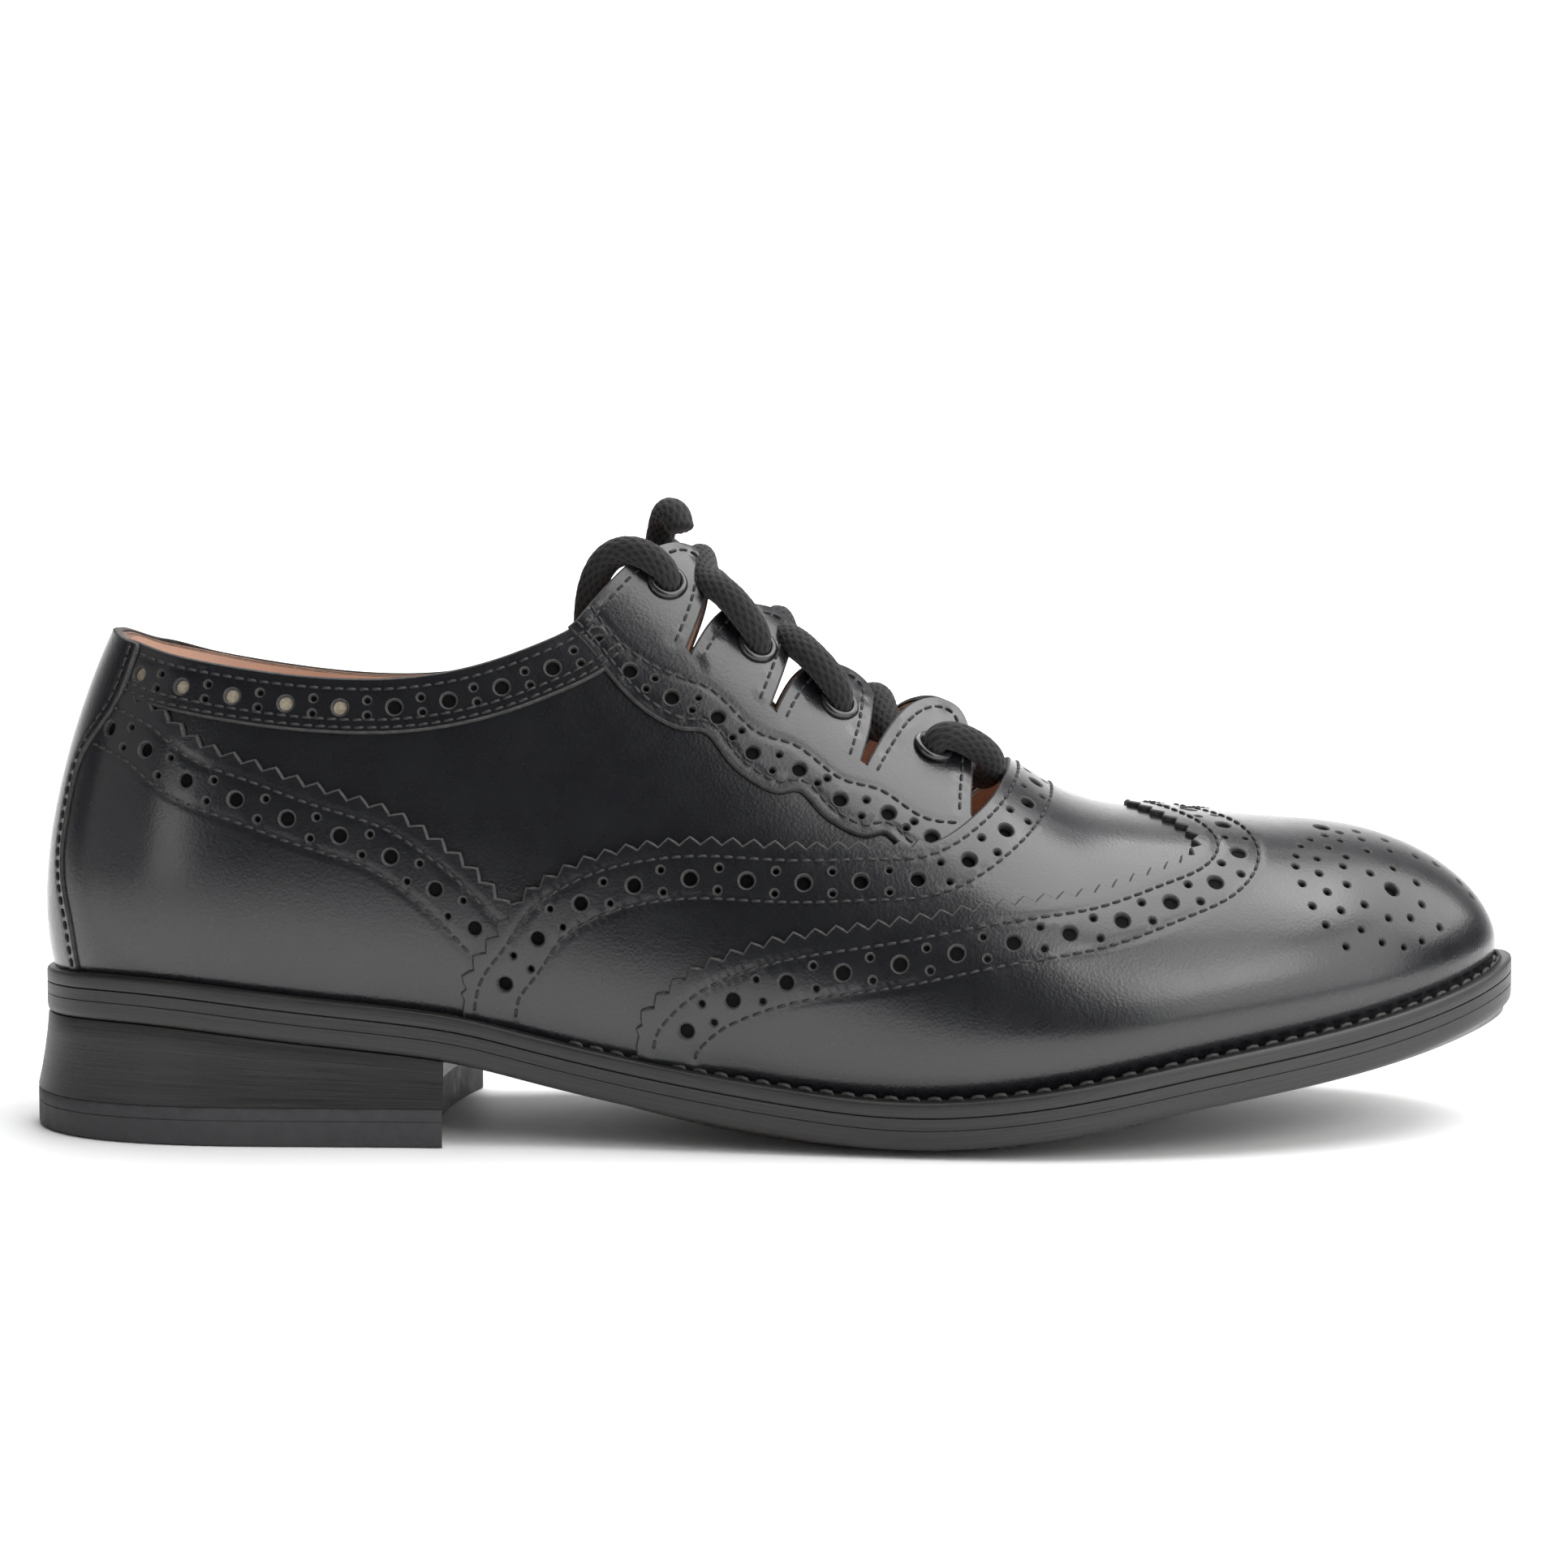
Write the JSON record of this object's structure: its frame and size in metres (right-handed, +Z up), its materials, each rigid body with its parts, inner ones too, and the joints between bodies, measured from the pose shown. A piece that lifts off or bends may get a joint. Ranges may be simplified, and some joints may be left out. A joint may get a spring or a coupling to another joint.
{
  "type": "ghillie brogue shoe",
  "caption": "Black leather ghillie brogue: wing cap, winged vamp, open throat laced through cut tabs, stacked heel, welted sole.",
  "frame": {"origin": "on the floor under the middle of the shoe's box", "axes": "+X from heel to toe, +Y to the inner side of the foot, +Z up"},
  "size_m": [0.3062, 0.1018, 0.1282],
  "materials": {
    "upper_leather": "high-shine black leather",
    "sole_leather": "black dyed sole edge, waxed",
    "lining": "matt tan lining leather",
    "rubber": "matt rubber",
    "lace_cotton": "braided black cotton",
    "eyelet_metal": "black enamel"
  },
  "bodies": {
    "root": {"outsole": "sole_leather", "welt": "sole_leather", "heel_stack": "sole_leather", "top_lift": "rubber", "insole": "lining", "upper": "upper_leather", "counter_outer": "upper_leather", "counter_inner": "upper_leather", "collar_band_outer": "upper_leather", "collar_band_inner": "upper_leather", "facing_outer": "upper_leather", "facing_inner": "upper_leather", "vamp": "upper_leather", "wing_cap": "upper_leather", "back_strip": "upper_leather", "lace": "lace_cotton", "lace_end_outer": "lace_cotton", "lace_end_inner": "lace_cotton", "eyelet_outer_1": "eyelet_metal", "eyelet_outer_2": "eyelet_metal", "eyelet_outer_3": "eyelet_metal", "eyelet_outer_4": "eyelet_metal", "eyelet_inner_1": "eyelet_metal", "eyelet_inner_2": "eyelet_metal", "eyelet_inner_3": "eyelet_metal", "eyelet_inner_4": "eyelet_metal"}
  },
  "joints": []
}
